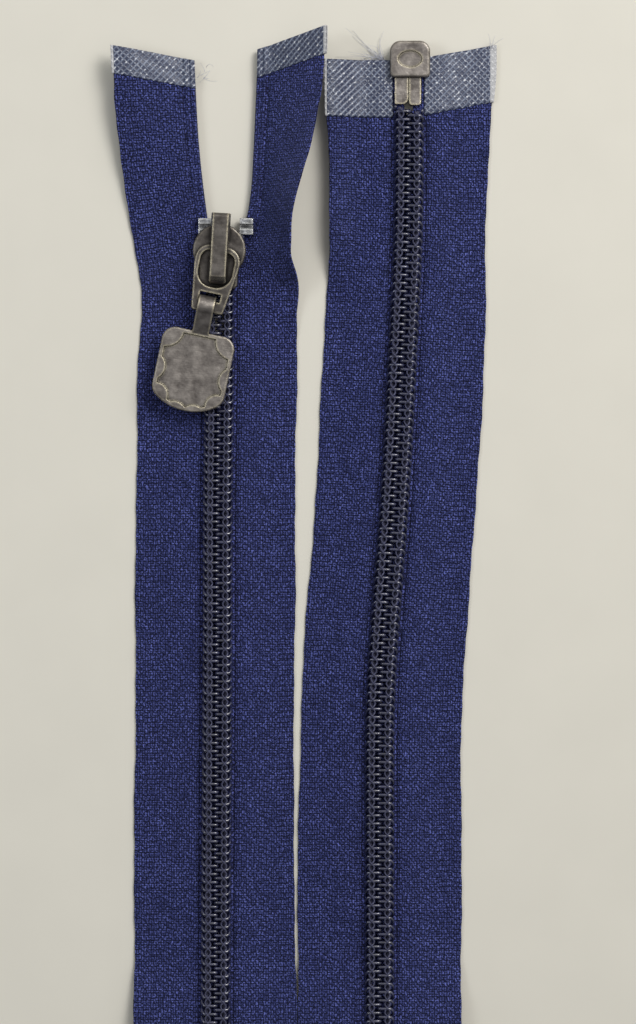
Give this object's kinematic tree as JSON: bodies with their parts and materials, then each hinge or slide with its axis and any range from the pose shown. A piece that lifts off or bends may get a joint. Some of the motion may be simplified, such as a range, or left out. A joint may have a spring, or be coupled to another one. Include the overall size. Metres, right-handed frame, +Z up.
{
  "type": "zipper",
  "caption": "Open-end coil zip laid double, with woven tapes, a locking slider with link and hanging tab, film-stiffened ends and a retainer box with pins.",
  "frame": {"origin": "middle of the plan box of the zip as it lies, on the table", "axes": "+Y towards the two ends, +Z up off the table, +X towards the run with the retainer box"},
  "size_m": [0.0718, 0.2255, 0.0121],
  "materials": {
    "tape": "woven polyester tape, navy, matt",
    "coil": "dark navy nylon monofilament",
    "cord": "twisted filler cord",
    "thread": "navy sewing thread",
    "film": "clear embossed reinforcement film over the tape",
    "stop": "bright clipped metal",
    "antique_brass": "antique brass, dark with rubbed bright edges",
    "lock_steel": "spring steel"
  },
  "bodies": {
    "zip": {"outer_tape": "tape", "inner_tape": "tape", "outer_coil": "coil", "inner_coil": "coil", "outer_core_cord": "cord", "inner_core_cord": "cord", "outer_stitching": "thread", "inner_stitching": "thread", "left_top_stop": "stop", "right_top_stop": "stop", "left_top_film": "film", "right_top_film": "film", "left_bottom_film": "film", "right_bottom_film": "film", "retainer_box": "antique_brass", "box_pin": "antique_brass", "insertion_pin": "antique_brass"},
    "slider": {"slider_body": "antique_brass", "bridge_cap": "antique_brass", "lock_spring": "lock_steel"},
    "lock": {"locking_pawl": "lock_steel"},
    "link": {"pull_link": "antique_brass"},
    "tab": {"pull_tab": "antique_brass"}
  },
  "joints": [
    {"name": "slider_travel", "type": "slide", "parent": "zip", "child": "slider", "axis": [0, -1, 0], "range_m": [0, 0.1]},
    {"name": "link_hinge", "type": "hinge", "parent": "slider", "child": "link", "pos_m": [-0.01608, 0.07248, 0.00575], "axis": [-0.9781, 0.2079, 0], "range_deg": [0, 120]},
    {"name": "tab_hinge", "type": "hinge", "parent": "link", "child": "tab", "pos_m": [-0.01843, 0.06143, 0.00575], "axis": [-0.9781, 0.2079, 0], "range_deg": [0, 80]},
    {"name": "lock_lift", "type": "slide", "parent": "slider", "child": "lock", "axis": [0, 0, 1], "range_m": [0, 0.0005]}
  ]
}
